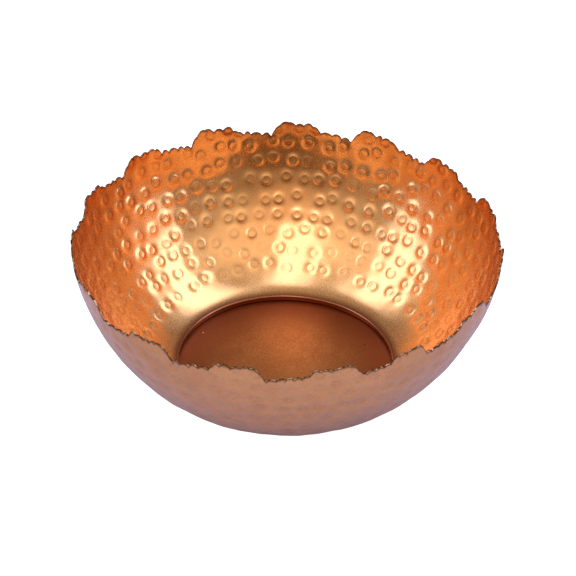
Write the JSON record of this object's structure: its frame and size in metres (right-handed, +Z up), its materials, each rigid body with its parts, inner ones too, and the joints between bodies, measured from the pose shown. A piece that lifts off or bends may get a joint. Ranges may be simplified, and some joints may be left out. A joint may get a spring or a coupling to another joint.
{
  "type": "bowl",
  "caption": "Round decorative metal bowl with ring-punched sides, a torn petal rim and a smooth sunken floor.",
  "frame": {"origin": "centre of the bowl's bounding box at the plane of the felt pads' undersides, on the bowl's axis", "axes": "+Z up along the bowl's axis out of its mouth; -Y is the front of the bowl, +X is to its right"},
  "size_m": [0.3021, 0.3016, 0.1132],
  "materials": {
    "punched_copper": "satin copper, ring-punched, with a darker raw edge",
    "plain_copper": "smooth satin copper, darker",
    "braze_metal": "dull, flowed",
    "brown_felt": "pressed felt"
  },
  "bodies": {
    "root": {"bowl_wall": "punched_copper", "base_dish": "plain_copper", "braze_ring": "braze_metal", "foot_pad_front_right": "brown_felt", "foot_pad_back_right": "brown_felt", "foot_pad_back_left": "brown_felt", "foot_pad_front_left": "brown_felt"}
  },
  "joints": []
}
